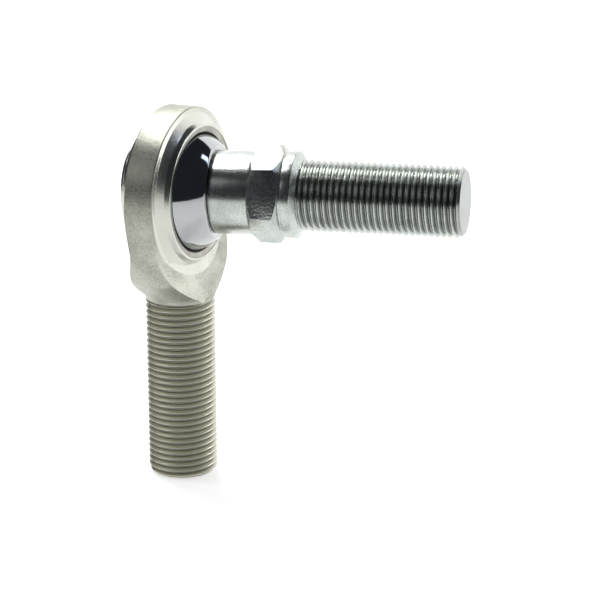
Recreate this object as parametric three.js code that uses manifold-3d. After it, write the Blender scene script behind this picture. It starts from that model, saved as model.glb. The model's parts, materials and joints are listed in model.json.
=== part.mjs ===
// Studded male rod end: a threaded shank with a ring-shaped head, a chromed ball that swivels in a
// lined race inside the head, and a threaded stud with a spanner hexagon riveted through the ball.
// Millimetres, +Z up. The origin is the centre of the shank's end face, the shank stands along +Z,
// and +X runs along the axis of the head's eye, towards the stud.
import * as THREE from "three";
import { mergeVertices } from "three/addons/utils/BufferGeometryUtils.js";
import Module from "manifold-3d";

const wasm = await Module();
wasm.setup();

const INCH = 25.4;

// Thread 5/8-18 UNF, the same on the shank and on the stud, right-hand.
const THREAD_DIAMETER = 0.625 * INCH;
const THREADS_PER_INCH = 18;
const THREAD_DEPTH_PER_PITCH = 0.6134; // UN external thread
const CREST_FLAT_PER_PITCH = 1 / 8;
const THREAD_SIDES = 16; // facets around one turn
const THREAD_RUN_OUT = 1.2; // where the thread dies out towards the head or the collar

// Shank and head of the body.
const SHANK_THREAD_LENGTH = 1.625 * INCH;
const CENTRE_ABOVE_THREAD = 1 * INCH; // ball centre above the end of the shank's thread
const SHANK_CHAMFER = 0.9;
const HEAD_WALL = 3.05; // from the race's diameter to the head's
const RIM_WIDTH = 6.8; // width of the head's outer band
const RIM_EDGE = 0.25; // small chamfer along the band's edges
const LEDGE_WIDTH = 1.25; // narrow flat ring between the rim's edge and the foot of the boss
const LEDGE_RISE = 0.2;
const BOSS_RISE = 1.3; // steep foot of the boss
const BOSS_SHOULDER = 0.1; // how far the top of that foot stays inside the race's diameter
const LIP_STEP = 0.1; // the staked lips stand this far past the race
const LIP_FACE = 0.15; // flat width of a lip's face
const LIP_ROUND = 0.4; // rounded edge outside it, across
const LIP_ROUND_DEPTH = 0.25; // and along
const SIDE_DRAFT_START = 4; // below the ball centre, where the head's sides begin to draw in
const SIDE_DRAFT = 15; // degrees they draw in by
const NECK_LENGTH = 1.1; // plain neck between the thread and the cone under the head
const SHOULDER_ANGLE = 49; // that cone, measured from the shank's axis
const SHOULDER_CORNER = 12; // radius between the drafted sides and the cone
const FLANK_TAPER_START = 12.8; // below the ball centre, where the flat sides begin to flare
const FLANK_TAPER = 18.5; // degrees each flat side flares by, down to the shank

// Ball, liner and race.
const BALL_DIAMETER = 1.125 * INCH;
const BALL_WIDTH = 0.75 * INCH;
const BALL_EDGE = 0.2;
const LINER_THICKNESS = 0.34;
const LINER_INSET = 0.2; // from the race's opening to the liner's edge
const RACE_WALL = 1.2125; // at its middle
const RACE_OPENING_WIDTH = 11.3; // between the two openings' edges
const RACE_GROOVE = 1.15; // 45 degree edge that the lip is staked over
const RACE_DISH = 0.25; // the end faces lean in towards the opening by this much

// Stud, along its own axis from the ball's flat outwards.
const SHOULDER_STEP = 1.4625; // the shoulder's radius over the thread's
const SHOULDER_LENGTH = 8.545; // from the ball to the hexagon
const HEX_LENGTH = 7.6;
const HEX_FLATS = 0.75 * INCH;
const HEX_CHAMFER = 38; // degrees, from the hexagon's end faces
const HEX_FACE_INSET = 0.45; // from the flats in to the round end faces
const GROOVE_WIDTH = 0.5;
const GROOVE_DEPTH = 0.45;
const COLLAR_DIAMETER = 19.5;
const COLLAR_LENGTH = 1.9;
const COLLAR_CONE = 1.1; // length of the cone from the collar down to the thread
const STUD_THREAD_LENGTH = 36.3;
const STUD_CHAMFER = 0.9;
const RIVET_INSET = 0.95; // from the edge of the ball's flat to the riveted head
const RIVET_THICKNESS = 1.1;
const EDGE_BREAK = 0.3; // small chamfer on turned edges of the stud

// The stud's pose at rest: it leans away from the eye's axis, in a direction turned about that axis.
const STUD_LEAN = 10.3; // degrees
const LEAN_DIRECTION = 5.3; // degrees from +Y towards +Z
const STUD_SPIN = -17; // degrees about its own axis, from the spanner flats facing +Y and -Y

// Clearances.
const RUNNING_GAP = 0.08; // radial, ball in liner, liner in race, stud in ball
const SEAT_GAP = 0.03; // between pieces fixed to each other

const ROUND_SIDES = 48; // facets around the head, race, liner and ball
const STUD_SIDES = 48;
const CORNER_STEPS = 6; // facets across the rounded corner under the head
const RACE_STEPS = 8; // facets across the race and the liner
const BALL_STEPS = 14; // facets across the ball
const CREST_CLEAR = 0.02; // keeps a thread's envelope off its full crests

const threadRadius = THREAD_DIAMETER / 2;
const pitch = INCH / THREADS_PER_INCH;
const ballRadius = BALL_DIAMETER / 2;
const linerInside = ballRadius + RUNNING_GAP;
const linerOutside = linerInside + LINER_THICKNESS;
const raceInside = linerOutside + RUNNING_GAP;
const raceRadius = raceInside + RACE_WALL;
const headRadius = raceRadius + HEAD_WALL;
const boreRadius = threadRadius; // the ball's bore is the thread's own size
const ballHalf = BALL_WIDTH / 2;
const ballFlat = Math.sqrt(ballRadius ** 2 - ballHalf ** 2);
const raceRim = RACE_OPENING_WIDTH / 2 + RACE_DISH;
const centreHeight = SHANK_THREAD_LENGTH + CENTRE_ABOVE_THREAD;
const degrees = THREE.MathUtils.degToRad;

// A solid from a geometry whose faces close up.
function solid(geometry) {
  const bare = geometry.index ? geometry.toNonIndexed() : geometry.clone();
  bare.deleteAttribute("normal");
  bare.deleteAttribute("uv");
  const merged = mergeVertices(bare, 1e-4);
  const corners = merged.index.array;
  const kept = [];
  for (let i = 0; i < corners.length; i += 3) {
    const [a, b, c] = corners.slice(i, i + 3);
    if (a !== b && b !== c && c !== a) kept.push(a, b, c);
  }
  return new wasm.Manifold(
    new wasm.Mesh({
      numProp: 3,
      vertProperties: merged.attributes.position.array,
      triVerts: new Uint32Array(kept),
    }),
  );
}

// The geometry of a solid, ready for a mesh.
function geometryOf(made) {
  const { numProp, numVert, vertProperties, triVerts } = made.getMesh();
  const positions = new Float32Array(numVert * 3);
  for (let i = 0; i < numVert; i++) {
    positions.set(vertProperties.subarray(i * numProp, i * numProp + 3), i * 3);
  }
  const flat = new THREE.BufferGeometry()
    .setAttribute("position", new THREE.BufferAttribute(positions, 3))
    .setIndex(new THREE.BufferAttribute(triVerts, 1))
    .toNonIndexed();
  flat.computeVertexNormals();
  return flat;
}

// A turned shape: [along, radius] pairs, in order along the outline, with the material on the left
// of the way they run. The shape turns about X or about Z.
function turned(outline, axis, sides) {
  const points = outline.map(([along, radius]) => new THREE.Vector2(radius, along));
  const lathe = new THREE.LatheGeometry(points, sides);
  return axis === "x" ? lathe.rotateZ(-Math.PI / 2) : lathe.rotateX(Math.PI / 2);
}

// Points on a circular arc about a centre on the turning axis or off it, from one angle to another.
function arc(centreAlong, centreRadius, radius, from, to, steps) {
  return Array.from({ length: steps + 1 }, (_, i) => {
    const angle = from + ((to - from) * i) / steps;
    return [centreAlong + radius * Math.cos(angle), centreRadius + radius * Math.sin(angle)];
  });
}

// A threaded rod along +Z from 0 to length: one thread profile swept along a right-hand helix. Its
// two ends are closed by fans from the axis and stand a pitch outside the length, to be cut off.
function threadedRod(length) {
  const crest = CREST_FLAT_PER_PITCH * pitch;
  const profile = [
    [0, threadRadius - THREAD_DEPTH_PER_PITCH * pitch],
    [(pitch - crest) / 2, threadRadius],
    [(pitch + crest) / 2, threadRadius],
  ];
  const steps = Math.ceil((length / pitch + 2) * THREAD_SIDES);
  const positions = [];
  const place = (step, [along, radius]) => {
    const angle = (2 * Math.PI * step) / THREAD_SIDES;
    const rise = (pitch * step) / THREAD_SIDES - pitch;
    return [radius * Math.cos(angle), radius * Math.sin(angle), along + rise];
  };
  const next = (i) => (i + 1 < profile.length ? [i + 1, 0] : [0, THREAD_SIDES]);
  const face = (a, b, c) => positions.push(...a, ...b, ...c);
  const bottom = [0, 0, -pitch];
  const top = [0, 0, (pitch * steps) / THREAD_SIDES];
  for (let step = 0; step < steps; step++) {
    profile.forEach((point, i) => {
      const [j, turn] = next(i);
      const a = place(step, point);
      const b = place(step + 1, point);
      const c = place(step + 1 + turn, profile[j]);
      const d = place(step + turn, profile[j]);
      face(a, b, c);
      face(a, c, d);
    });
  }
  for (let step = 0; step < THREAD_SIDES; step++) {
    face(bottom, place(step + 1, profile[0]), place(step, profile[0]));
    face(top, place(steps + step, profile[0]), place(steps + step + 1, profile[0]));
  }
  profile.forEach((point, i) => {
    const [j, turn] = next(i);
    face(bottom, place(0, point), place(turn, profile[j]));
    face(top, place(steps + turn, profile[j]), place(steps, point));
  });
  const geometry = new THREE.BufferGeometry();
  geometry.setAttribute("position", new THREE.Float32BufferAttribute(positions, 3));
  return solid(geometry);
}

// A finished thread along +Z from 0 to length: its crests die out over a cone at 0 and are chamfered
// at the far end.
function thread(length, chamfer) {
  const over = threadRadius + CREST_CLEAR;
  const core = threadRadius - THREAD_DEPTH_PER_PITCH * pitch;
  const envelope = [
    [0, 0],
    [0, core],
    [THREAD_RUN_OUT, over],
    [length - chamfer, over],
    [length, over - chamfer],
    [length, 0],
  ];
  return threadedRod(length).intersect(solid(turned(envelope, "z", STUD_SIDES)));
}

function mesh(name, geometry, color, roughness, metalness) {
  const material = new THREE.MeshStandardMaterial({ color, roughness, metalness });
  const made = new THREE.Mesh(geometry, material);
  made.name = name;
  return made;
}

// The race's outline outside, from its -X opening to its +X opening, grown by a gap.
function raceOutside(gap) {
  const opening = RACE_OPENING_WIDTH / 2;
  const openingRadius = Math.sqrt(raceInside ** 2 - opening ** 2);
  const grooveStart = raceRim - RACE_GROOVE;
  const right = [
    [grooveStart + gap / 2, raceRadius + gap],
    [raceRim + gap / 2, raceRadius - RACE_GROOVE + gap],
    [opening, openingRadius],
  ];
  const left = right.map(([along, radius]) => [-along, radius]).reverse();
  return { left, right };
}

// Body: shank, shoulder and head in one forging, bored for the race.
function bodyGeometry() {
  const half = RIM_WIDTH / 2;
  const lip = raceRim + LIP_STEP;
  const ledge = headRadius - LEDGE_WIDTH;
  const shoulder = raceRadius - BOSS_SHOULDER;
  const { right } = raceOutside(SEAT_GAP);
  const lipInside = right[1][1];
  const side = [
    [lip, lipInside],
    [lip, lipInside + LIP_FACE],
    [lip - LIP_ROUND_DEPTH, lipInside + LIP_FACE + LIP_ROUND],
    [half + LEDGE_RISE + BOSS_RISE, shoulder],
    [half + LEDGE_RISE, ledge],
    [half, headRadius - RIM_EDGE],
    [half - RIM_EDGE, headRadius],
  ];
  const otherSide = side.map(([along, radius]) => [-along, radius]);
  const disc = solid(turned([[-lip, 0], ...otherSide, ...side.reverse(), [lip, 0]], "x", ROUND_SIDES));

  // Side wall, rounded corner and cone, turned about the shank's axis below the ball centre.
  const wall = Math.hypot(headRadius, half);
  const cone = degrees(SHOULDER_ANGLE);
  const draft = degrees(SIDE_DRAFT);
  const neckFoot = -CENTRE_ABOVE_THREAD;
  const coneFoot = neckFoot + NECK_LENGTH;
  const coneRise = 1 / Math.tan(cone);
  const draftRise = 1 / Math.tan(draft);
  // Offset both lines inwards by the corner's radius: they cross at the corner's centre.
  const coneLine = coneFoot + SHOULDER_CORNER / Math.sin(cone);
  const draftLine = -SIDE_DRAFT_START + SHOULDER_CORNER / Math.sin(draft);
  const cornerRadius =
    (draftLine - wall * draftRise - coneLine + threadRadius * coneRise) / (coneRise - draftRise);
  const corner = arc(
    coneLine + (cornerRadius - threadRadius) * coneRise,
    cornerRadius,
    SHOULDER_CORNER,
    Math.PI / 2 + cone,
    Math.PI / 2 + draft,
    CORNER_STEPS,
  );
  const lobe = solid(
    turned(
      [
        [neckFoot, 0],
        [neckFoot, threadRadius],
        [coneFoot, threadRadius],
        ...corner,
        [-SIDE_DRAFT_START, wall],
        [0, wall],
        [0, 0],
      ],
      "z",
      ROUND_SIDES,
    ),
  );

  // The two flat sides, seen along Y: level by the eye, flaring below it down to the shank.
  const flare = half + (-neckFoot - FLANK_TAPER_START) * Math.tan(degrees(FLANK_TAPER));
  const slab = new THREE.Shape([
    new THREE.Vector2(half, 0),
    new THREE.Vector2(-half, 0),
    new THREE.Vector2(-half, -FLANK_TAPER_START),
    new THREE.Vector2(-flare, neckFoot),
    new THREE.Vector2(flare, neckFoot),
    new THREE.Vector2(half, -FLANK_TAPER_START),
  ]);
  const width = 2 * headRadius;
  const between = new THREE.ExtrudeGeometry(slab, { depth: width, bevelEnabled: false, steps: 1 })
    .rotateX(Math.PI / 2)
    .translate(0, width / 2, 0);
  const shoulderPart = lobe.intersect(solid(between));

  // Shank, with the start of its thread inside the neck.
  const shank = thread(SHANK_THREAD_LENGTH + THREAD_RUN_OUT, SHANK_CHAMFER)
    .rotate(180, 0, 0)
    .translate(0, 0, neckFoot + THREAD_RUN_OUT);

  const { left, right: outer } = raceOutside(SEAT_GAP);
  const past = lip + LEDGE_WIDTH;
  const bore = [
    [-past, 0],
    [-past, left[1][1]],
    left[1],
    left[2],
    outer[0],
    outer[1],
    [past, outer[1][1]],
    [past, 0],
  ];
  return geometryOf(
    disc
      .add(shoulderPart)
      .add(shank)
      .subtract(solid(turned(bore, "x", ROUND_SIDES))),
  );
}

// Race: a steel ring, spherical inside, with an edge at each end that the body's lip is staked over.
function raceGeometry() {
  const { left, right } = raceOutside(0);
  const reach = Math.acos(RACE_OPENING_WIDTH / 2 / raceInside);
  const inside = arc(0, 0, raceInside, reach, Math.PI - reach, RACE_STEPS);
  return turned([...left, ...right, ...inside.slice(1)], "x", ROUND_SIDES);
}

// Liner: a thin woven layer between race and ball.
function linerGeometry() {
  const reach = Math.acos((RACE_OPENING_WIDTH / 2 - LINER_INSET) / linerOutside);
  const outside = arc(0, 0, linerOutside, Math.PI - reach, reach, RACE_STEPS);
  const inside = arc(0, 0, linerInside, reach, Math.PI - reach, RACE_STEPS);
  return turned([...outside, ...inside, outside[0]], "x", ROUND_SIDES);
}

// Ball: a sphere with two flats and a bore.
function ballGeometry() {
  const reach = Math.acos((ballHalf - BALL_EDGE) / ballRadius);
  const flat = ballFlat - BALL_EDGE;
  return turned(
    [
      [-ballHalf, boreRadius],
      [-ballHalf, flat],
      ...arc(0, 0, ballRadius, Math.PI - reach, reach, BALL_STEPS),
      [ballHalf, flat],
      [ballHalf, boreRadius],
      [-ballHalf, boreRadius],
    ],
    "x",
    ROUND_SIDES,
  );
}

// Stud: riveted head, spigot through the ball, shoulder, hexagon, collar and thread.
function studGeometry() {
  const seat = ballHalf + SEAT_GAP;
  const spigot = boreRadius - RUNNING_GAP;
  const rivet = ballFlat - RIVET_INSET;
  const shoulder = threadRadius + SHOULDER_STEP;
  const hexStart = seat + SHOULDER_LENGTH;
  const hexEnd = hexStart + HEX_LENGTH;
  const collar = COLLAR_DIAMETER / 2;
  const grooveEnd = hexEnd + GROOVE_WIDTH;
  const collarEnd = grooveEnd + COLLAR_LENGTH;
  const threadStart = collarEnd + COLLAR_CONE;
  const plain = solid(
    turned(
      [
        [-seat - RIVET_THICKNESS, 0],
        [-seat - RIVET_THICKNESS, rivet - RIVET_THICKNESS / 2],
        [-seat - RIVET_THICKNESS / 2, rivet],
        [-seat, rivet],
        [-seat, spigot],
        [seat, spigot],
        [seat, shoulder - EDGE_BREAK],
        [seat + EDGE_BREAK, shoulder],
        [hexEnd, shoulder],
        [hexEnd, collar - GROOVE_DEPTH],
        [grooveEnd, collar - GROOVE_DEPTH],
        [grooveEnd, collar],
        [collarEnd, collar],
        [threadStart, threadRadius],
        [threadStart, 0],
      ],
      "x",
      STUD_SIDES,
    ),
  );

  // The hexagon's corners are turned off by a cone at each end.
  const cornerRadius = HEX_FLATS / Math.sqrt(3);
  const chamferStart = HEX_FLATS / 2 - HEX_FACE_INSET;
  const chamfer = (cornerRadius - chamferStart) * Math.tan(degrees(HEX_CHAMFER));
  const blank = solid(
    turned(
      [
        [hexStart, 0],
        [hexStart, chamferStart],
        [hexStart + chamfer, cornerRadius],
        [hexEnd - chamfer, cornerRadius],
        [hexEnd, chamferStart],
        [hexEnd, 0],
      ],
      "x",
      STUD_SIDES,
    ),
  );
  const sixCorners = Array.from({ length: 6 }, (_, i) => {
    const angle = (Math.PI / 3) * i;
    return new THREE.Vector2(cornerRadius * Math.cos(angle), cornerRadius * Math.sin(angle));
  });
  const bar = new THREE.ExtrudeGeometry(new THREE.Shape(sixCorners), {
    depth: HEX_LENGTH,
    bevelEnabled: false,
    steps: 1,
  })
    .rotateY(Math.PI / 2)
    .translate(hexStart, 0, 0);
  const hexagon = blank.intersect(solid(bar));

  const end = thread(STUD_THREAD_LENGTH + THREAD_RUN_OUT, STUD_CHAMFER)
    .rotate(0, 90, 0)
    .translate(threadStart - THREAD_RUN_OUT, 0, 0);
  return geometryOf(plain.add(hexagon).add(end));
}

const rodEnd = new THREE.Group();
const eye = new THREE.Group();
eye.position.set(0, 0, centreHeight);
rodEnd.add(eye);
eye.add(mesh("rod_end_body", bodyGeometry(), 0xb9bab0, 0.42, 0.9));
eye.add(mesh("race", raceGeometry(), 0xa9a79f, 0.38, 0.9));
eye.add(mesh("liner", linerGeometry(), 0x4b4a42, 0.85, 0));

const swivel = new THREE.Group();
swivel.rotation.set(degrees(LEAN_DIRECTION), 0, degrees(STUD_LEAN));
swivel.add(mesh("ball", ballGeometry(), 0xd5d8dc, 0.06, 1));
const stud = mesh("stud", studGeometry(), 0xc3c8c8, 0.24, 0.95);
stud.rotation.x = degrees(STUD_SPIN);
swivel.add(stud);
eye.add(swivel);

export default rodEnd;
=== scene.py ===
# Studded rod end: a zinc-plated forged body, a staked race with a woven liner, a hard-chromed ball,
# and a turned stud with a spanner hexagon riveted through the ball. Sizes are in millimetres and the
# meshes in metres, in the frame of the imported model.
import json
import math

import bmesh
import bpy
from mathutils import Matrix, Vector


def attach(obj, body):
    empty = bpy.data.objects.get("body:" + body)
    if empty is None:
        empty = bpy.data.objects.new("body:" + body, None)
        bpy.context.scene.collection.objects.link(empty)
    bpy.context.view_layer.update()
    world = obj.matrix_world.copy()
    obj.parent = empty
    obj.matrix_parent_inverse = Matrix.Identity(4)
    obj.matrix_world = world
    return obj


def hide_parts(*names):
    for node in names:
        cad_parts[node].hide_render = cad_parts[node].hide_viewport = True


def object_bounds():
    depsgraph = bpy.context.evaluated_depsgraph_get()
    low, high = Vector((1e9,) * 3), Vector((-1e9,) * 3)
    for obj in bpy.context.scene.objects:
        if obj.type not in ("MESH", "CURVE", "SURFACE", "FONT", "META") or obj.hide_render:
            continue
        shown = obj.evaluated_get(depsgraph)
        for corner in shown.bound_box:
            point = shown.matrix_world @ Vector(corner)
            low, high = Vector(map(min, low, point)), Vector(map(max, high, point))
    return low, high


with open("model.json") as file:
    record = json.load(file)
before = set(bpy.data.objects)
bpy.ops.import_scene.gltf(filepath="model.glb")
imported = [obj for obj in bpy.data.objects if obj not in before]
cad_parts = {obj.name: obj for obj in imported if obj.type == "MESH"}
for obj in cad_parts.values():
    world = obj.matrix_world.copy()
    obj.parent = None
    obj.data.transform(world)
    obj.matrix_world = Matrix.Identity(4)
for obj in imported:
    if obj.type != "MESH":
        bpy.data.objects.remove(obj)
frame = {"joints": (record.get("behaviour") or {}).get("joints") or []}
cad_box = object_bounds()


# ---------------------------------------------------------------------------------------------
# Table, lights and camera. An opal light table stands in a dark room, with a lit backdrop behind it
# and small softboxes above and beside it. The metal shows white from below and from behind, and the
# dark room from the front and from above.
# ---------------------------------------------------------------------------------------------
def linear(colour):
    """An sRGB hex colour as linear red, green, blue and alpha."""
    parts = [int(colour[i : i + 2], 16) / 255 for i in (1, 3, 5)]
    return [p / 12.92 if p <= 0.04045 else ((p + 0.055) / 1.055) ** 2.4 for p in parts] + [1.0]


def add(tree, kind, settings=None, inputs=None):
    """One node with its settings; an input is a value, or another node's output to link."""
    node = tree.nodes.new(kind)
    for name, value in (settings or {}).items():
        setattr(node, name, value)
    for name, value in (inputs or {}).items():
        if isinstance(value, bpy.types.NodeSocket):
            tree.links.new(value, node.inputs[name])
        else:
            node.inputs[name].default_value = value
    return node


def new_material(name):
    """An empty material: its node tree, its shader and its output."""
    material = bpy.data.materials.new(name)
    material.use_nodes = True
    tree = material.node_tree
    tree.nodes.clear()
    shader = add(tree, "ShaderNodeBsdfPrincipled")
    add(tree, "ShaderNodeOutputMaterial", inputs={"Surface": shader.outputs["BSDF"]})
    return material, tree, shader


TABLE_SIZE = 3.2
TABLE_FRONT = 0.43  # from the shank to the table's front edge
TABLE_WHITE = "#f7f7f6"
TABLE_GLOW = 0.58

opal, tree, shader = new_material("opal_acrylic_lit_from_below")
shader.inputs["Metallic"].default_value = 0.0
shader.inputs["Roughness"].default_value = 0.6
shader.inputs["Specular IOR Level"].default_value = 0.2
shader.inputs["Emission Color"].default_value = linear("#ffffff")
shader.inputs["Emission Strength"].default_value = TABLE_GLOW
place = add(tree, "ShaderNodeTexCoord")
mottle = add(
    tree,
    "ShaderNodeTexNoise",
    inputs={"Vector": place.outputs["Object"], "Scale": 6.0, "Detail": 3.0},
)
tint = add(tree, "ShaderNodeValToRGB", inputs={"Fac": mottle.outputs["Fac"]})
tint.color_ramp.elements[0].color = linear("#f3f3f2")
tint.color_ramp.elements[1].color = linear(TABLE_WHITE)
tree.links.new(tint.outputs["Color"], shader.inputs["Base Color"])

bpy.ops.mesh.primitive_grid_add(x_subdivisions=8, y_subdivisions=8, size=TABLE_SIZE)
table = bpy.context.object
table.name = "table"
table.location = (0.0, TABLE_SIZE / 2 - TABLE_FRONT, cad_box[0].z - 0.0002)
table.data.materials.append(opal)


def softbox(name, size, place, target, power, colour="#ffffff"):
    """A rectangular light that faces a point."""
    data = bpy.data.lights.new(name, "AREA")
    data.shape = "RECTANGLE"
    data.size, data.size_y = size
    data.energy = power
    data.color = linear(colour)[:3]
    lamp = bpy.data.objects.new(name, data)
    bpy.context.scene.collection.objects.link(lamp)
    lamp.location = place
    lamp.rotation_euler = (Vector(target) - Vector(place)).to_track_quat("-Z", "Y").to_euler()


softbox("lit_backdrop", (3.0, 1.1), (0.1, 1.3, 0.56), (0.05, 0.0, 0.07), 15.0)
softbox("upper_left_softbox", (0.5, 0.46), (-0.43, 0.40, 0.93), (0.0, 0.0, 0.07), 6.0)
softbox("upper_right_softbox", (0.16, 0.4), (0.66, 0.36, 0.80), (0.0, 0.0, 0.07), 0.75, "#ccd6f2")
softbox("overhead_spot", (0.16, 0.16), (-0.42, -0.07, 0.98), (0.0, 0.0, 0.07), 1.8)
softbox("right_card", (0.35, 0.24), (0.85, 0.55, 0.13), (0.0, 0.0, 0.05), 1.7)
softbox("front_left_fill", (0.5, 0.5), (-0.6, -0.75, 0.6), (0.0, 0.0, 0.07), 0.8)

bpy.context.scene.view_settings.view_transform = "Standard"

room = bpy.data.worlds.new("dark_studio")
bpy.context.scene.world = room
room.use_nodes = True
room.node_tree.nodes.clear()
walls = add(room.node_tree, "ShaderNodeBackground", inputs={"Color": linear("#848d9c"), "Strength": 0.1})
add(room.node_tree, "ShaderNodeOutputWorld", inputs={"Surface": walls.outputs["Background"]})

MM = 0.001
CAMERA_AZIMUTH = math.radians(25.0789)
CAMERA_ELEVATION = math.radians(16.6578)
CAMERA_ROLL = math.radians(-0.1675)
CAMERA_FROM_BALL = Vector((226.768, -422.862, 118.523)) * MM
BALL_CENTRE = Vector(frame["joints"][0]["pos_m"])

back = Vector(
    (
        math.sin(CAMERA_AZIMUTH) * math.cos(CAMERA_ELEVATION),
        -math.cos(CAMERA_AZIMUTH) * math.cos(CAMERA_ELEVATION),
        math.sin(CAMERA_ELEVATION),
    )
)
right = Vector((math.cos(CAMERA_AZIMUTH), math.sin(CAMERA_AZIMUTH), 0.0))
up = back.cross(right)
turned_right = right * math.cos(CAMERA_ROLL) + up * math.sin(CAMERA_ROLL)
turned_up = up * math.cos(CAMERA_ROLL) - right * math.sin(CAMERA_ROLL)
camera_data = bpy.data.cameras.new("camera")
camera_data.sensor_width = 36.0
camera_data.lens = 133.65
camera_data.clip_start = 0.01
camera_data.clip_end = 20.0
camera = bpy.data.objects.new("camera", camera_data)
bpy.context.scene.collection.objects.link(camera)
camera.matrix_world = Matrix.Translation(BALL_CENTRE + CAMERA_FROM_BALL) @ Matrix(
    (turned_right, turned_up, back)
).transposed().to_4x4()
bpy.context.scene.camera = camera


# ---------------------------------------------------------------------------------------------
# Body: one steel forging, shank, shoulder and ring-shaped head, machined on the rim and in the
# bore, thread rolled on the shank, blasted and zinc plated. Its two lips are staked over the race.
# ---------------------------------------------------------------------------------------------
THREAD_DIAMETER = 15.875
THREAD_PITCH = 25.4 / 18
THREAD_DEPTH = 0.6134 * THREAD_PITCH
SHANK_THREAD_LENGTH = 41.275
CENTRE_ABOVE_THREAD = 25.4
THREAD_CHAMFER = 0.9
THREAD_RUN_OUT = 1.2
RACE_RADIUS = 16.0
HEAD_RADIUS = 19.05
RIM_HALF = 3.4
LEDGE_RISE = 0.2
LEDGE_RADIUS = 17.8
BOSS_FOOT = (4.9, 15.9)
LIP = (6.0, 14.88)
BORE_EDGE = (4.765, 16.03)
SIDE_DRAFT = math.radians(15)
SIDE_DRAFT_START = 4.0
SHOULDER_ANGLE = math.radians(49)
SHOULDER_CORNER = 12.0
NECK_LENGTH = 1.1
FLANK_TAPER = math.radians(18.5)
FLANK_TAPER_START = 12.8
EDGE_ROUND = 3.0
CRISP_DROP = 9.0  # below the ball's centre the edges start to round off
ROUND_OVER = 12.0  # and are fully round this much further down
DRAFT_FILLET = 20.0
FLARE_FILLET = 9.0
NECK_GROOVE = 0.45
EYE_SIDES = 256
NECK_BLEND = (0.3, 0.32)  # along and across, from the neck into the cone
LIP_BREAK = 0.085


def rounded(corners, closed=False, steps=5):
    """An outline with each corner (along, radius, fillet) rounded to its fillet radius."""
    points = []
    count = len(corners)
    for i, corner in enumerate(corners):
        here = Vector(corner[:2])
        fillet = corner[2] if len(corner) > 2 else 0.0
        if fillet <= 0 or (not closed and i in (0, count - 1)):
            points.append(here)
            continue
        before = (Vector(corners[i - 1][:2]) - here).normalized()
        after = (Vector(corners[(i + 1) % count][:2]) - here).normalized()
        half = before.angle(after) / 2
        reach = fillet / math.tan(half)
        start = here + before * reach
        end = here + after * reach
        centre = here + (before + after).normalized() * fillet / math.sin(half)
        first = start - centre
        sweep = first.angle_signed(end - centre)
        for step in range(steps + 1):
            points.append(centre + Matrix.Rotation(-sweep * step / steps, 2) @ first)
    return points


def mesh_of(name, build):
    """A mesh from a bmesh, welded, with its faces turned outwards."""
    bmesh.ops.remove_doubles(build, verts=build.verts, dist=1e-7)
    bmesh.ops.recalc_face_normals(build, faces=build.faces)
    mesh = bpy.data.meshes.new(name)
    build.to_mesh(mesh)
    build.free()
    return mesh


def turned(name, outline, axis, sides=192):
    """A solid turned about X or Z from its outline, a list of (along, radius)."""
    build = bmesh.new()
    rings = []
    for along, radius in outline:
        ring = []
        for i in range(sides if radius > 1e-6 else 1):
            angle = 2 * math.pi * i / sides
            a, b = radius * math.cos(angle), radius * math.sin(angle)
            ring.append(build.verts.new(Vector((along, a, b) if axis == "x" else (a, b, along)) * MM))
        rings.append(ring)
    pairs = list(zip(rings, rings[1:]))
    if len(rings[0]) > 1:
        pairs.append((rings[-1], rings[0]))
    for one, other in pairs:
        if len(one) == 1 and len(other) == 1:
            continue
        for i in range(sides):
            j = (i + 1) % sides
            if len(one) == 1:
                build.faces.new((one[0], other[i], other[j]))
            elif len(other) == 1:
                build.faces.new((one[i], one[j], other[0]))
            else:
                build.faces.new((one[i], one[j], other[j], other[i]))
    return mesh_of(name, build)


def prism(name, outline, depth, axis):
    """A straight solid from an outline, centred along its axis."""
    build = bmesh.new()
    ends = []
    for side in (-depth / 2, depth / 2):
        ring = [
            build.verts.new(Vector((side, a, b) if axis == "x" else (a, side, b)) * MM)
            for a, b in outline
        ]
        build.faces.new(ring)
        ends.append(ring)
    for i in range(len(outline)):
        j = (i + 1) % len(outline)
        build.faces.new((ends[0][i], ends[0][j], ends[1][j], ends[1][i]))
    return mesh_of(name, build)


def applied(mesh, kind, settings):
    """A mesh with one modifier applied."""
    holder = bpy.data.objects.new("holder", mesh)
    bpy.context.scene.collection.objects.link(holder)
    modifier = holder.modifiers.new(kind, kind)
    for name, value in settings.items():
        setattr(modifier, name, value)
    bpy.context.view_layer.update()
    made = bpy.data.meshes.new_from_object(holder.evaluated_get(bpy.context.evaluated_depsgraph_get()))
    bpy.data.objects.remove(holder)
    return made


def combined(mesh, operation, other):
    """Two solids joined, cut or intersected."""
    tool = bpy.data.objects.new("tool", other)
    bpy.context.scene.collection.objects.link(tool)
    made = applied(mesh, "BOOLEAN", {"operation": operation, "solver": "EXACT", "object": tool})
    bpy.data.objects.remove(tool)
    return made


THREAD_SIDES = 72
THREAD_STEPS = 12  # across one pitch
SPARE_TURNS = 2.05
HALF_CREST = 0.0625  # of a pitch
FLANK = 0.354  # of a pitch, from the crest to the root
WELD = 2e-6


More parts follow.
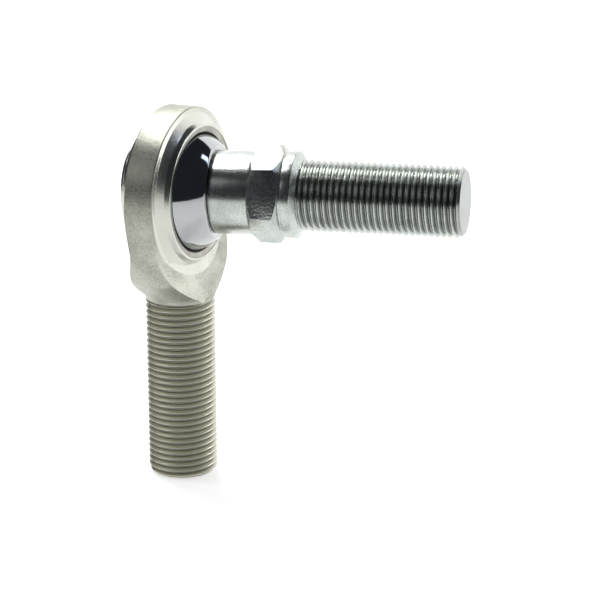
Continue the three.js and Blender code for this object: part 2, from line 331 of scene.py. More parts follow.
def thread_tree():
    """A threaded rod along +Z: a grid whose long rows follow the helix, closed at both ends.
    The thread dies out over a cone at 0."""
    tree = bpy.data.node_groups.new("rolled_thread", "GeometryNodeTree")
    tree.interface.new_socket("Geometry", in_out="OUTPUT", socket_type="NodeSocketGeometry")
    for name in ("Radius", "Pitch", "Depth", "Length", "Run Out"):
        tree.interface.new_socket(name, in_out="INPUT", socket_type="NodeSocketFloat")
    for name in ("Sides", "Steps"):
        tree.interface.new_socket(name, in_out="INPUT", socket_type="NodeSocketInt")
    tree.interface.new_socket("Material", in_out="INPUT", socket_type="NodeSocketMaterial")
    # Each row of the table is one sum: its name, what it does, and numbers or earlier names.
    sums = (
        # The grid has a column for each side of each turn, with a turn to spare at both ends.
        ("turns", "DIVIDE", "Length", "Pitch"),
        ("turns", "ADD", "turns", SPARE_TURNS),
        ("columns", "MULTIPLY", "turns", "Sides"),
        ("columns", "CEIL", "columns"),
        ("columns", "ADD", "columns", 1.0),
        ("rows", "ADD", "Steps", 1.0),
        # Each point's column and row give its turn, its share of the pitch and its place along.
        ("column", "ADD", "index", 0.5),
        ("column", "DIVIDE", "column", "rows"),
        ("column", "FLOOR", "column"),
        ("before", "MULTIPLY", "column", "rows"),
        ("row", "SUBTRACT", "index", "before"),
        ("share", "DIVIDE", "row", "Steps"),
        ("turn", "DIVIDE", "column", "Sides"),
        ("along", "ADD", "turn", "share"),
        ("along", "SUBTRACT", "along", 1.0),
        ("along", "MULTIPLY", "along", "Pitch"),
        # 60 degree flanks: full depth at both ends of the share, a narrow crest in its middle.
        ("fall", "SUBTRACT", "share", 0.5),
        ("fall", "ABSOLUTE", "fall"),
        ("fall", "SUBTRACT", "fall", HALF_CREST),
        ("fall", "DIVIDE", "fall", FLANK),
        ("fall", "MAXIMUM", "fall", 0.0),
        ("fall", "MINIMUM", "fall", 1.0),
        ("fall", "MULTIPLY", "fall", "Depth"),
        ("profile", "SUBTRACT", "Radius", "fall"),
        # At 0 the crests rise over a cone from the core.
        ("core", "SUBTRACT", "Radius", "Depth"),
        ("cone", "DIVIDE", "along", "Run Out"),
        ("cone", "MULTIPLY", "cone", "Depth"),
        ("cone", "ADD", "core", "cone"),
        ("cone", "MAXIMUM", "cone", "core"),
        ("limited", "MINIMUM", "profile", "cone"),
        # Past each end the rows run in over the flat end face to the axis.
        ("past_end", "SUBTRACT", "along", "Length"),
        ("past_end", "MAXIMUM", "past_end", 0.0),
        ("past_start", "MULTIPLY", "along", -1.0),
        ("past_start", "MAXIMUM", "past_start", 0.0),
        ("left", "ADD", "past_end", "past_start"),
        ("left", "DIVIDE", "left", "Pitch"),
        ("left", "SUBTRACT", 1.0, "left"),
        ("left", "MAXIMUM", "left", 0.0),
        ("radius", "MULTIPLY", "limited", "left"),
        ("height", "MAXIMUM", "along", 0.0),
        ("height", "MINIMUM", "height", "Length"),
        ("angle", "MULTIPLY", "turn", 2 * math.pi),
        ("x", "COSINE", "angle"),
        ("x", "MULTIPLY", "radius", "x"),
        ("y", "SINE", "angle"),
        ("y", "MULTIPLY", "radius", "y"),
    )
    known = {socket.name: socket for socket in add(tree, "NodeGroupInput").outputs}
    known["index"] = add(tree, "GeometryNodeInputIndex").outputs[0]
    for name, operation, *terms in sums:
        inputs = {i: known.get(term, term) for i, term in enumerate(terms)}
        known[name] = add(tree, "ShaderNodeMath", {"operation": operation}, inputs).outputs[0]

    grid = add(
        tree,
        "GeometryNodeMeshGrid",
        inputs={"Vertices X": known["columns"], "Vertices Y": known["rows"]},
    )
    position = add(
        tree, "ShaderNodeCombineXYZ", inputs={"X": known["x"], "Y": known["y"], "Z": known["height"]}
    )
    moved = add(
        tree,
        "GeometryNodeSetPosition",
        inputs={"Geometry": grid.outputs["Mesh"], "Position": position.outputs[0]},
    )
    welded = add(
        tree,
        "GeometryNodeMergeByDistance",
        inputs={"Geometry": moved.outputs[0], "Distance": WELD},
    )
    real = add(tree, "GeometryNodeRealizeInstances", inputs={"Geometry": welded.outputs[0]})
    coated = add(
        tree,
        "GeometryNodeSetMaterial",
        inputs={"Geometry": real.outputs[0], "Material": known["Material"]},
    )
    add(tree, "NodeGroupOutput", inputs={"Geometry": coated.outputs[0]})
    return tree


rolled_thread = thread_tree()


def thread(name, length, material):
    """One threaded rod, as a plain mesh in metres, cut to length with a 45 degree chamfer."""
    holder = bpy.data.objects.new(name, bpy.data.meshes.new(name))
    bpy.context.scene.collection.objects.link(holder)
    modifier = holder.modifiers.new("thread", "NODES")
    modifier.node_group = rolled_thread
    sizes = {
        "Radius": THREAD_DIAMETER / 2 * MM,
        "Pitch": THREAD_PITCH * MM,
        "Depth": THREAD_DEPTH * MM,
        "Length": (length + THREAD_PITCH) * MM,
        "Run Out": THREAD_RUN_OUT * MM,
        "Sides": THREAD_SIDES,
        "Steps": THREAD_STEPS,
        "Material": material,
    }
    for item in rolled_thread.interface.items_tree:
        if item.in_out == "INPUT":
            modifier[item.identifier] = sizes[item.name]
    bpy.context.view_layer.update()
    made = bpy.data.meshes.new_from_object(holder.evaluated_get(bpy.context.evaluated_depsgraph_get()))
    holder.modifiers.remove(modifier)
    bpy.data.objects.remove(holder)
    build = bmesh.new()
    build.from_mesh(made)
    bmesh.ops.dissolve_degenerate(build, edges=build.edges, dist=1e-7)
    clear = 0.5
    outside = THREAD_DIAMETER / 2 + clear
    blank_outline = [
        (-1.0, 0.0),
        (-1.0, outside),
        (length - THREAD_CHAMFER - clear, outside),
        (length, outside - THREAD_CHAMFER - clear),
        (length, 0.0),
    ]
    blank = turned("thread_blank", blank_outline, "z", 2 * THREAD_SIDES)
    return combined(mesh_of(name, build), "INTERSECT", blank)


CREASE = math.radians(28)


def finished(name, mesh, material, body, node):
    """The piece in its place: smooth where it is smooth, sharp at its edges."""
    mesh.materials.clear()
    mesh.materials.append(material)
    for polygon in mesh.polygons:
        polygon.use_smooth = True
        polygon.material_index = 0
    mesh.set_sharp_from_angle(angle=CREASE)
    piece = bpy.data.objects.new(name, mesh)
    bpy.context.scene.collection.objects.link(piece)
    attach(piece, body)
    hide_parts(node)


# Bright zinc over a blasted forging: a satin, slightly warm and greenish grey. Blasted grain of
# 0.5 mm, slow waves of 8 mm from the forging, a paler and yellower plate on the shank, and painted
# shade darkening the roots of its thread.
ZINC_LIGHT = "#babbb0"
ZINC_DARK = "#8a8b80"
SHANK_ZINC = "#cdccbd"
# The colour of the painted shade in the shank thread's roots.
PAINTED_ROOT_SHADE = "#67645a"
MACHINED = "#c6c7bd"

forging_zinc, tree, shader = new_material("zinc_plated_forging")
shader.inputs["Metallic"].default_value = 1.0
place = add(tree, "ShaderNodeTexCoord").outputs["Object"]
cloud = add(tree, "ShaderNodeTexNoise", inputs={"Vector": place, "Scale": 120.0, "Detail": 4.0})
speck = add(tree, "ShaderNodeTexNoise", inputs={"Vector": place, "Scale": 2600.0, "Detail": 2.0})
grain = add(tree, "ShaderNodeTexNoise", inputs={"Vector": place, "Scale": 2000.0, "Detail": 4.0})
mottle = add(
    tree, "ShaderNodeMix", {"data_type": "FLOAT"}, {0: 0.5, 2: cloud.outputs["Fac"], 3: speck.outputs["Fac"]}
)
tone = add(tree, "ShaderNodeValToRGB", inputs={"Fac": mottle.outputs[0]})
tone.color_ramp.elements[0].position = 0.36
tone.color_ramp.elements[0].color = linear(ZINC_DARK)
tone.color_ramp.elements[1].position = 0.64
tone.color_ramp.elements[1].color = linear(ZINC_LIGHT)
axis_only = add(tree, "ShaderNodeVectorMath", {"operation": "MULTIPLY"}, {0: place, 1: (1.0, 1.0, 0.0)})
radius = add(tree, "ShaderNodeVectorMath", {"operation": "LENGTH"}, {0: axis_only.outputs[0]})
# Painted shade: the deeper into a thread root, the more the colour goes to the dark root colour.
in_root = add(
    tree,
    "ShaderNodeMapRange",
    inputs={
        "Value": radius.outputs["Value"],
        "From Min": (THREAD_DIAMETER / 2 - THREAD_DEPTH) * MM,
        "From Max": (THREAD_DIAMETER / 2 - 0.25) * MM,
        "To Min": 0.75,
        "To Max": 0.0,
    },
)
height = add(tree, "ShaderNodeSeparateXYZ", inputs={0: place})
on_shank = add(
    tree,
    "ShaderNodeMapRange",
    inputs={
        "Value": height.outputs["Z"],
        "From Min": (SHANK_THREAD_LENGTH + 1.0) * MM,
        "From Max": (SHANK_THREAD_LENGTH - 1.0) * MM,
    },
)
# Painted shade mask: root depth, on the threaded shank only.
painted_root_shade = add(
    tree, "ShaderNodeMath", {"operation": "MULTIPLY"}, {0: in_root.outputs[0], 1: on_shank.outputs[0]}
)
shank_tone = add(
    tree,
    "ShaderNodeMix",
    {"data_type": "RGBA"},
    {0: on_shank.outputs[0], 6: tone.outputs["Color"], 7: linear(SHANK_ZINC)},
)
colour = add(
    tree,
    "ShaderNodeMix",
    {"data_type": "RGBA"},
    {0: painted_root_shade.outputs[0], 6: shank_tone.outputs[2], 7: linear(PAINTED_ROOT_SHADE)},
)
# The faces round the eye are machined, so they are lighter and smoother than the forged skin.
from_eye = add(
    tree, "ShaderNodeVectorMath", {"operation": "SUBTRACT"}, {0: place, 1: tuple(BALL_CENTRE)}
)
eye_only = add(
    tree, "ShaderNodeVectorMath", {"operation": "MULTIPLY"}, {0: from_eye.outputs[0], 1: (0.0, 1.0, 1.0)}
)
eye_radius = add(tree, "ShaderNodeVectorMath", {"operation": "LENGTH"}, {0: eye_only.outputs[0]})
within = add(
    tree,
    "ShaderNodeMapRange",
    inputs={
        "Value": eye_radius.outputs["Value"],
        "From Min": (HEAD_RADIUS - 0.15) * MM,
        "From Max": (HEAD_RADIUS - 0.45) * MM,
    },
)
out = add(tree, "ShaderNodeMath", {"operation": "ABSOLUTE"}, {0: height.outputs["X"]})
proud = add(
    tree,
    "ShaderNodeMapRange",
    inputs={"Value": out.outputs[0], "From Min": (RIM_HALF - 0.1) * MM, "From Max": (RIM_HALF + 0.03) * MM},
)
machined = add(
    tree, "ShaderNodeMath", {"operation": "MULTIPLY"}, {0: within.outputs[0], 1: proud.outputs[0]}
)
lighter = add(
    tree,
    "ShaderNodeMix",
    {"data_type": "RGBA"},
    {0: machined.outputs[0], 6: colour.outputs[2], 7: linear(MACHINED)},
)
tree.links.new(lighter.outputs[2], shader.inputs["Base Color"])
dull = add(
    tree,
    "ShaderNodeMapRange",
    inputs={"Value": speck.outputs["Fac"], "From Min": 0.3, "From Max": 0.7, "To Min": 0.33, "To Max": 0.48},
)
smooth = add(
    tree,
    "ShaderNodeMapRange",
    inputs={"Value": speck.outputs["Fac"], "From Min": 0.3, "From Max": 0.7, "To Min": 0.22, "To Max": 0.27},
)
rough = add(
    tree,
    "ShaderNodeMix",
    {"data_type": "FLOAT"},
    {0: machined.outputs[0], 2: dull.outputs[0], 3: smooth.outputs[0]},
)
tree.links.new(rough.outputs[0], shader.inputs["Roughness"])
waves = add(
    tree,
    "ShaderNodeBump",
    inputs={"Strength": 0.25, "Distance": 0.0004, "Height": cloud.outputs["Fac"]},
)
less_grain = add(
    tree, "ShaderNodeMapRange", inputs={"Value": machined.outputs[0], "To Min": 0.36, "To Max": 0.15}
)
blasted = add(
    tree,
    "ShaderNodeBump",
    inputs={
        "Strength": less_grain.outputs[0],
        "Distance": 0.0001,
        "Height": grain.outputs["Fac"],
        "Normal": waves.outputs["Normal"],
    },
)
tree.links.new(blasted.outputs["Normal"], shader.inputs["Normal"])

half_outline = [
    (0.0, HEAD_RADIUS),
    (RIM_HALF, HEAD_RADIUS, 0.3),
    (RIM_HALF + LEDGE_RISE, LEDGE_RADIUS, 0.45),
    (BOSS_FOOT[0], BOSS_FOOT[1], 0.7),
    (LIP[0], LIP[1] + 0.45, 0.35),
    (LIP[0], LIP[1], 0.0),
]
half = rounded(half_outline)
mirrored = [(-p[0], p[1]) for p in reversed(half[1:])]
disc_outline = [(-LIP[0], 0.0)] + mirrored + [tuple(p) for p in half] + [(LIP[0], 0.0)]
disc = turned("disc", disc_outline, "x", EYE_SIDES)

neck_foot = -CENTRE_ABOVE_THREAD
cone_foot = neck_foot + NECK_LENGTH
cone_rise = 1 / math.tan(SHOULDER_ANGLE)
draft_rise = 1 / math.tan(SIDE_DRAFT)
wall = math.hypot(HEAD_RADIUS, RIM_HALF)
neck = THREAD_DIAMETER / 2
cone_line = cone_foot + SHOULDER_CORNER / math.sin(SHOULDER_ANGLE)
draft_line = -SIDE_DRAFT_START + SHOULDER_CORNER / math.sin(SIDE_DRAFT)
corner_radius = (draft_line - wall * draft_rise - cone_line + neck * cone_rise) / (cone_rise - draft_rise)
corner_along = cone_line + (corner_radius - neck) * cone_rise
lobe_foot = neck_foot + NECK_GROOVE
lobe_outline = [
    (lobe_foot, 0.0),
    (lobe_foot, neck),
    (cone_foot - NECK_BLEND[0], neck),
    (cone_foot + NECK_BLEND[0], neck + NECK_BLEND[1]),
]
for step in range(25):
    angle = math.pi / 2 + SHOULDER_ANGLE + (SIDE_DRAFT - SHOULDER_ANGLE) * step / 24
    lobe_outline.append(
        (
            corner_along + SHOULDER_CORNER * math.cos(angle),
            corner_radius + SHOULDER_CORNER * math.sin(angle),
        )
    )
draft_top = rounded([lobe_outline[-1], (-SIDE_DRAFT_START, wall, DRAFT_FILLET), (0.5, wall)])
lobe_outline += [tuple(p) for p in draft_top[1:]] + [(0.5, 0.0)]
lobe = turned("lobe", lobe_outline, "z", 192)

flare = RIM_HALF + (-neck_foot - FLANK_TAPER_START) * math.tan(FLANK_TAPER)
flank = [
    (RIM_HALF, 0.5),
    (-RIM_HALF, 0.5),
    (-RIM_HALF, -FLANK_TAPER_START, FLARE_FILLET),
    (-flare, neck_foot - 0.5),
    (flare, neck_foot - 0.5),
    (RIM_HALF, -FLANK_TAPER_START, FLARE_FILLET),
]
flanks = prism("flanks", rounded(flank, closed=True, steps=10), 2 * HEAD_RADIUS, "y")
shoulder = combined(lobe, "INTERSECT", flanks)
# The edges of the flat sides are crisp beside the eye and grow rounder down towards the shank.
build = bmesh.new()
build.from_mesh(shoulder)
weight = build.edges.layers.float.new("bevel_weight_edge")
for edge in build.edges:
    if len(edge.link_faces) == 2 and edge.calc_face_angle(0.0) > math.radians(30):
        drop = -sum(v.co.z for v in edge.verts) / 2 / MM
        if -0.2 < drop < CENTRE_ABOVE_THREAD - 0.5:
            edge[weight] = 0.1 + 0.9 * min(max((drop - CRISP_DROP) / ROUND_OVER, 0.0), 1.0)
build.to_mesh(shoulder)
build.free()
shoulder = applied(
    shoulder, "BEVEL", {"width": EDGE_ROUND * MM, "segments": 6, "limit_method": "WEIGHT"}
)
head = combined(shoulder, "UNION", disc)
PAST = 8.0
bore = turned(
    "bore",
    [
        (-PAST, 0.0),
        (-PAST, LIP[1]),
        (-LIP[0] + LIP_BREAK, LIP[1]),
        (-BORE_EDGE[0], BORE_EDGE[1]),
        BORE_EDGE,
        (LIP[0] - LIP_BREAK, LIP[1]),
        (PAST, LIP[1]),
        (PAST, 0.0),
    ],
    "x",
    EYE_SIDES,
)
head = combined(head, "DIFFERENCE", bore)
head.transform(Matrix.Translation(BALL_CENTRE))
shank_length = SHANK_THREAD_LENGTH + THREAD_RUN_OUT
shank = thread("shank", shank_length, forging_zinc)
shank.transform(
    Matrix.Translation((0.0, 0.0, shank_length * MM)) @ Matrix.Rotation(math.pi, 4, "X")
)
body_mesh = combined(head, "UNION", shank)
finished("forged_body", body_mesh, forging_zinc, "housing", "rod_end_body")


# ---------------------------------------------------------------------------------------------
# Race: a plain steel ring, spherical inside, turned, with a 45 degree edge at each end that the
# body's lip is staked over. Only its dished end faces show.
# ---------------------------------------------------------------------------------------------
RACE_INSIDE = 14.7875
RACE_OPENING_HALF = 5.65
RACE_RIM_HALF = 5.9
RACE_GROOVE = 1.15


def arc(radius, start, end, steps):
    """Points on a circle about the ball's centre, as (along, radius)."""
    angles = [start + (end - start) * i / steps for i in range(steps + 1)]
    return [(radius * math.cos(angle), radius * math.sin(angle)) for angle in angles]


turned_steel, tree, shader = new_material("turned_steel")
shader.inputs["Metallic"].default_value = 1.0
place = add(tree, "ShaderNodeTexCoord").outputs["Object"]
centred = add(
    tree, "ShaderNodeVectorMath", {"operation": "SUBTRACT"}, {0: place, 1: tuple(BALL_CENTRE)}
)
across = add(
    tree, "ShaderNodeVectorMath", {"operation": "MULTIPLY"}, {0: centred.outputs[0], 1: (0.0, 1.0, 1.0)}
)
radius = add(tree, "ShaderNodeVectorMath", {"operation": "LENGTH"}, {0: across.outputs[0]})
FACING_FEED = 0.12
feed = add(
    tree,
    "ShaderNodeMath",
    {"operation": "MULTIPLY"},
    {0: radius.outputs["Value"], 1: 2 * math.pi / (FACING_FEED * MM)},
)
marks = add(tree, "ShaderNodeMath", {"operation": "SINE"}, {0: feed.outputs[0]})
stain = add(tree, "ShaderNodeTexNoise", inputs={"Vector": place, "Scale": 260.0, "Detail": 4.0})
tone = add(tree, "ShaderNodeValToRGB", inputs={"Fac": stain.outputs["Fac"]})
tone.color_ramp.elements[0].position = 0.35
tone.color_ramp.elements[0].color = linear("#8f8d85")
tone.color_ramp.elements[1].position = 0.7
tone.color_ramp.elements[1].color = linear("#b0afa8")
tree.links.new(tone.outputs["Color"], shader.inputs["Base Color"])
dull = add(
    tree, "ShaderNodeMapRange", inputs={"Value": stain.outputs["Fac"], "To Min": 0.26, "To Max": 0.42}
)
tree.links.new(dull.outputs[0], shader.inputs["Roughness"])
cut = add(
    tree,
    "ShaderNodeBump",
    inputs={"Strength": 0.3, "Distance": 0.000015, "Height": marks.outputs[0]},
)
tree.links.new(cut.outputs["Normal"], shader.inputs["Normal"])

opening_radius = math.sqrt(RACE_INSIDE**2 - RACE_OPENING_HALF**2)
opening_angle = math.acos(RACE_OPENING_HALF / RACE_INSIDE)
race_corners = [
    (-RACE_RIM_HALF, RACE_RADIUS - RACE_GROOVE, 0.08),
    (-RACE_RIM_HALF + RACE_GROOVE, RACE_RADIUS, 0.08),
    (RACE_RIM_HALF - RACE_GROOVE, RACE_RADIUS, 0.08),
    (RACE_RIM_HALF, RACE_RADIUS - RACE_GROOVE, 0.08),
    (RACE_OPENING_HALF, opening_radius),
]
inside = arc(RACE_INSIDE, opening_angle, math.pi - opening_angle, 32)
race_outline = [tuple(p) for p in rounded(race_corners, steps=3)]
race = turned("race", race_outline + inside[1:], "x", EYE_SIDES)
race.transform(Matrix.Translation(BALL_CENTRE))
finished("staked_race", race, turned_steel, "housing", "race")


# ---------------------------------------------------------------------------------------------
# Liner: a thin woven low-friction fabric bonded into the race. Only its two edges can be seen,
# between the race and the ball.
# ---------------------------------------------------------------------------------------------
LINER_INSIDE = 14.3675
LINER_OUTSIDE = 14.7075
LINER_HALF = 5.45

woven_liner, tree, shader = new_material("woven_liner")
shader.inputs["Metallic"].default_value = 0.0
shader.inputs["Roughness"].default_value = 0.85
place = add(tree, "ShaderNodeTexCoord").outputs["Object"]
centred = add(
    tree, "ShaderNodeVectorMath", {"operation": "SUBTRACT"}, {0: place, 1: tuple(BALL_CENTRE)}
)
parts = add(tree, "ShaderNodeSeparateXYZ", inputs={0: centred.outputs[0]})
around = add(
    tree, "ShaderNodeMath", {"operation": "ARCTAN2"}, {0: parts.outputs["Z"], 1: parts.outputs["Y"]}
)
# Threads 0.25 mm apart, both round the race and across it.
YARN_PITCH = 0.25
YARNS_ROUND = 362.0
warp = add(tree, "ShaderNodeMath", {"operation": "MULTIPLY"}, {0: around.outputs[0], 1: YARNS_ROUND})
weft = add(
    tree,
    "ShaderNodeMath",
    {"operation": "MULTIPLY"},
    {0: parts.outputs["X"], 1: 2 * math.pi / (YARN_PITCH * MM)},
)
over = add(tree, "ShaderNodeMath", {"operation": "SINE"}, {0: warp.outputs[0]})
under = add(tree, "ShaderNodeMath", {"operation": "SINE"}, {0: weft.outputs[0]})
weave = add(tree, "ShaderNodeMath", {"operation": "MULTIPLY"}, {0: over.outputs[0], 1: under.outputs[0]})
yarn = add(tree, "ShaderNodeValToRGB", inputs={"Fac": weave.outputs[0]})
yarn.color_ramp.elements[0].color = linear("#3a3930")
yarn.color_ramp.elements[1].color = linear("#5c5a4c")
tree.links.new(yarn.outputs["Color"], shader.inputs["Base Color"])
raised = add(
    tree, "ShaderNodeBump", inputs={"Strength": 0.6, "Distance": 0.00004, "Height": weave.outputs[0]}
)
tree.links.new(raised.outputs["Normal"], shader.inputs["Normal"])

outer_angle = math.acos(LINER_HALF / LINER_OUTSIDE)
outer = arc(LINER_OUTSIDE, math.pi - outer_angle, outer_angle, 32)
inner = arc(LINER_INSIDE, outer_angle, math.pi - outer_angle, 32)
liner = turned("liner", outer + inner, "x", EYE_SIDES)
liner.transform(Matrix.Translation(BALL_CENTRE))
finished("race_liner", liner, woven_liner, "direction_ring", "liner")


# ---------------------------------------------------------------------------------------------
# Ball: a through-hardened steel ball with two flats and a bore, ground and hard chromed to a
# mirror. It leans in the race and carries the stud.
# ---------------------------------------------------------------------------------------------
BALL_RADIUS = 14.2875
BALL_HALF = 9.525
BALL_BORE_RADIUS = 7.9375
BALL_EDGE = 0.2
LEAN_DIRECTION = math.radians(5.3)
STUD_LEAN = math.radians(10.3)
STUD_SPIN = math.radians(-17)
LEANING = (
    Matrix.Translation(BALL_CENTRE)
    @ Matrix.Rotation(LEAN_DIRECTION, 4, "X")
    @ Matrix.Rotation(STUD_LEAN, 4, "Z")
)

hard_chrome, tree, shader = new_material("hard_chrome")
shader.inputs["Metallic"].default_value = 1.0
place = add(tree, "ShaderNodeTexCoord").outputs["Object"]
smear = add(tree, "ShaderNodeTexNoise", inputs={"Vector": place, "Scale": 180.0, "Detail": 5.0})
# Lapping lines 0.2 mm apart, drawn out along X.
stretched = add(
    tree, "ShaderNodeMapping", inputs={"Vector": place, "Scale": (900.0, 5000.0, 5000.0)}
)
lapping = add(
    tree, "ShaderNodeTexNoise", inputs={"Vector": stretched.outputs[0], "Scale": 1.0, "Detail": 2.0}
)
tone = add(tree, "ShaderNodeValToRGB", inputs={"Fac": smear.outputs["Fac"]})
tone.color_ramp.elements[0].color = linear("#a6a8a8")
tone.color_ramp.elements[1].color = linear("#b4b6b6")
tree.links.new(tone.outputs["Color"], shader.inputs["Base Color"])
polish = add(
    tree,
    "ShaderNodeMapRange",
    inputs={
        "Value": smear.outputs["Fac"],
        "From Min": 0.35,
        "From Max": 0.75,
        "To Min": 0.045,
        "To Max": 0.12,
    },
)
tree.links.new(polish.outputs[0], shader.inputs["Roughness"])
lapped = add(
    tree,
    "ShaderNodeBump",
    inputs={"Strength": 0.08, "Distance": 0.000006, "Height": lapping.outputs["Fac"]},
)
tree.links.new(lapped.outputs["Normal"], shader.inputs["Normal"])

flat_radius = math.sqrt(BALL_RADIUS**2 - BALL_HALF**2) - BALL_EDGE
ball_angle = math.acos((BALL_HALF - BALL_EDGE) / BALL_RADIUS)
ball_outline = (
    [(-BALL_HALF, BALL_BORE_RADIUS), (-BALL_HALF, flat_radius)]
    + arc(BALL_RADIUS, math.pi - ball_angle, ball_angle, 72)
    + [(BALL_HALF, flat_radius), (BALL_HALF, BALL_BORE_RADIUS)]
)
ball = turned("ball", ball_outline, "x", EYE_SIDES)
ball.transform(LEANING)
finished("chromed_ball", ball, hard_chrome, "tilting_ball", "ball")


# ---------------------------------------------------------------------------------------------
# Stud: turned from hexagon bar, with a spigot through the ball that is riveted over behind it, a
# shoulder, a spanner hexagon, a grooved collar and a rolled thread. Bright zinc plated.
# ---------------------------------------------------------------------------------------------
SEAT = 9.555
SPIGOT_RADIUS = 7.8575
RIVET_RADIUS = 9.7
RIVET_THICKNESS = 1.1
SHOULDER_RADIUS = 9.4
HEX_START = 18.1
HEX_END = 25.7
HEX_FLATS = 19.05
HEX_CHAMFER = math.radians(38)
HEX_FACE_INSET = 0.45
HEX_EDGE = 0.12
BAR_LENGTH = 80.0
GROOVE_END = 26.2
GROOVE_DEPTH = 0.45
COLLAR_RADIUS = 9.75
COLLAR_END = 28.1
STUD_THREAD_START = 29.2
STUD_THREAD_LENGTH = 36.3

bright_zinc, tree, shader = new_material("bright_zinc_turned")
shader.inputs["Metallic"].default_value = 1.0
place = add(tree, "ShaderNodeTexCoord").outputs["Object"]
# The same place seen from the stud's own axis, with X along it from the ball's centre.
to_stud = (LEANING @ Matrix.Rotation(STUD_SPIN, 4, "X")).inverted()
unturned = add(
    tree,
    "ShaderNodeMapping",
    {"vector_type": "POINT"},
    {
        "Vector": place,
        "Location": tuple(to_stud.translation),
        "Rotation": tuple(to_stud.to_euler("XYZ")),
    },
)
own = add(tree, "ShaderNodeSeparateXYZ", inputs={0: unturned.outputs[0]})
across = add(
    tree, "ShaderNodeVectorMath", {"operation": "MULTIPLY"}, {0: unturned.outputs[0], 1: (0.0, 1.0, 1.0)}
)
radius = add(tree, "ShaderNodeVectorMath", {"operation": "LENGTH"}, {0: across.outputs[0]})
# Painted shade: the deeper into a root of the stud's thread, the more the colour goes to dark grey.
in_root = add(
    tree,
    "ShaderNodeMapRange",
    inputs={
        "Value": radius.outputs["Value"],
        "From Min": (THREAD_DIAMETER / 2 - THREAD_DEPTH) * MM,
        "From Max": (THREAD_DIAMETER / 2 - 0.2) * MM,
        "To Min": 0.7,
        "To Max": 0.0,
    },
)
on_thread = add(
    tree,
    "ShaderNodeMapRange",
    inputs={
        "Value": own.outputs["X"],
        "From Min": (STUD_THREAD_START - 0.5) * MM,
        "From Max": (STUD_THREAD_START + 0.5) * MM,
    },
)
# Painted shade mask: root depth, on the threaded part of the stud only.
painted_root_shade = add(
    tree, "ShaderNodeMath", {"operation": "MULTIPLY"}, {0: in_root.outputs[0], 1: on_thread.outputs[0]}
)
cloud = add(tree, "ShaderNodeTexNoise", inputs={"Vector": place, "Scale": 240.0, "Detail": 4.0})
speck = add(tree, "ShaderNodeTexNoise", inputs={"Vector": place, "Scale": 2600.0, "Detail": 3.0})
grain = add(tree, "ShaderNodeTexNoise", inputs={"Vector": place, "Scale": 1900.0, "Detail": 4.0})
mottle = add(
    tree, "ShaderNodeMix", {"data_type": "FLOAT"}, {0: 0.5, 2: cloud.outputs["Fac"], 3: speck.outputs["Fac"]}
)
tone = add(tree, "ShaderNodeValToRGB", inputs={"Fac": mottle.outputs[0]})
tone.color_ramp.elements[0].position = 0.36
tone.color_ramp.elements[0].color = linear("#a2a7a2")
tone.color_ramp.elements[1].position = 0.64
tone.color_ramp.elements[1].color = linear("#c9cec9")
# The dark grey mixed in here is painted shade in the thread's roots.
colour = add(
    tree,
    "ShaderNodeMix",
    {"data_type": "RGBA"},
    {0: painted_root_shade.outputs[0], 6: tone.outputs["Color"], 7: linear("#6b6c68")},
)
tree.links.new(colour.outputs[2], shader.inputs["Base Color"])
dull = add(
    tree,
    "ShaderNodeMapRange",
    inputs={"Value": speck.outputs["Fac"], "From Min": 0.3, "From Max": 0.7, "To Min": 0.21, "To Max": 0.27},
)
tree.links.new(dull.outputs[0], shader.inputs["Roughness"])
TURNING_FEED = 0.15
feed = add(
    tree,
    "ShaderNodeMath",
    {"operation": "MULTIPLY"},
    {0: own.outputs["X"], 1: 2 * math.pi / (TURNING_FEED * MM)},
)
marks = add(tree, "ShaderNodeMath", {"operation": "SINE"}, {0: feed.outputs[0]})
cut = add(tree, "ShaderNodeBump", inputs={"Strength": 0.16, "Distance": 0.00001, "Height": marks.outputs[0]})
# The hexagon keeps the drawn skin of the bar, grainier than the turned faces.
on_bar = add(
    tree,
    "ShaderNodeMapRange",
    inputs={
        "Value": radius.outputs["Value"],
        "From Min": (HEX_FLATS / 2 - 0.03) * MM,
        "From Max": (HEX_FLATS / 2 - 0.01) * MM,
    },
)
off_collar = add(
    tree,
    "ShaderNodeMapRange",
    inputs={"Value": own.outputs["X"], "From Min": (HEX_END + 0.1) * MM, "From Max": HEX_END * MM},
)
drawn = add(
    tree, "ShaderNodeMath", {"operation": "MULTIPLY"}, {0: on_bar.outputs[0], 1: off_collar.outputs[0]}
)
skin = add(tree, "ShaderNodeMapRange", inputs={"Value": drawn.outputs[0], "To Min": 0.05, "To Max": 0.55})
speckled = add(
    tree,
    "ShaderNodeBump",
    inputs={
        "Strength": skin.outputs[0],
        "Distance": 0.0001,
        "Height": grain.outputs["Fac"],
        "Normal": cut.outputs["Normal"],
    },
)
tree.links.new(speckled.outputs["Normal"], shader.inputs["Normal"])

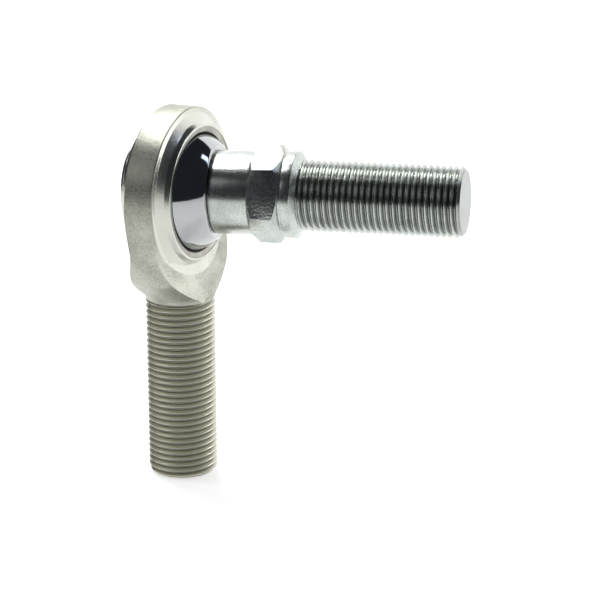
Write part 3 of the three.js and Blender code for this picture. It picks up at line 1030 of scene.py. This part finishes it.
spindle_outline = rounded(
    [
        (-SEAT - RIVET_THICKNESS, 0.0),
        (-SEAT - RIVET_THICKNESS, RIVET_RADIUS - 0.5, 0.6),
        (-SEAT - 0.35, RIVET_RADIUS, 0.3),
        (-SEAT, RIVET_RADIUS - 0.1, 0.05),
        (-SEAT, SPIGOT_RADIUS),
        (SEAT, SPIGOT_RADIUS),
        (SEAT, SHOULDER_RADIUS, 0.25),
        (HEX_END - 0.5, SHOULDER_RADIUS),
        (HEX_END, COLLAR_RADIUS - GROOVE_DEPTH, 0.1),
        (GROOVE_END, COLLAR_RADIUS - GROOVE_DEPTH, 0.1),
        (GROOVE_END, COLLAR_RADIUS, 0.12),
        (COLLAR_END, COLLAR_RADIUS, 0.25),
        (STUD_THREAD_START, THREAD_DIAMETER / 2 - 0.02, 0.2),
        (STUD_THREAD_START + 0.3, THREAD_DIAMETER / 2 - THREAD_DEPTH - 0.01),
        (STUD_THREAD_START + 0.3, 0.0),
    ]
)
spindle = turned("spindle", [tuple(p) for p in spindle_outline], "x", 192)

corner = HEX_FLATS / math.sqrt(3)
flat = HEX_FLATS / 2 - HEX_FACE_INSET
chamfer = (corner - flat) * math.tan(HEX_CHAMFER)
blank = turned(
    "blank",
    [
        (HEX_START, 0.0),
        (HEX_START, flat),
        (HEX_START + chamfer, corner),
        (HEX_END - chamfer, corner),
        (HEX_END, flat),
        (HEX_END, 0.0),
    ],
    "x",
    192,
)
six_corners = [
    (corner * math.cos(math.pi / 2 + math.pi / 3 * i), corner * math.sin(math.pi / 2 + math.pi / 3 * i))
    for i in range(6)
]
bar = prism("hexagon_bar", six_corners, BAR_LENGTH, "x")
hexagon = combined(blank, "INTERSECT", bar)
hexagon = applied(
    hexagon,
    "BEVEL",
    {
        "width": HEX_EDGE * MM,
        "segments": 2,
        "limit_method": "ANGLE",
        "angle_limit": math.radians(20),
        "use_clamp_overlap": True,
    },
)
stud_mesh = combined(spindle, "UNION", hexagon)
stud_thread = thread("stud_thread", STUD_THREAD_LENGTH + THREAD_RUN_OUT, bright_zinc)
thread_place = Matrix.Translation(((STUD_THREAD_START - THREAD_RUN_OUT) * MM, 0.0, 0.0))
stud_thread.transform(thread_place @ Matrix.Rotation(math.pi / 2, 4, "Y"))
stud_mesh = combined(stud_mesh, "UNION", stud_thread)
stud_mesh.transform(LEANING @ Matrix.Rotation(STUD_SPIN, 4, "X"))
finished("riveted_stud", stud_mesh, bright_zinc, "turning_stud", "stud")
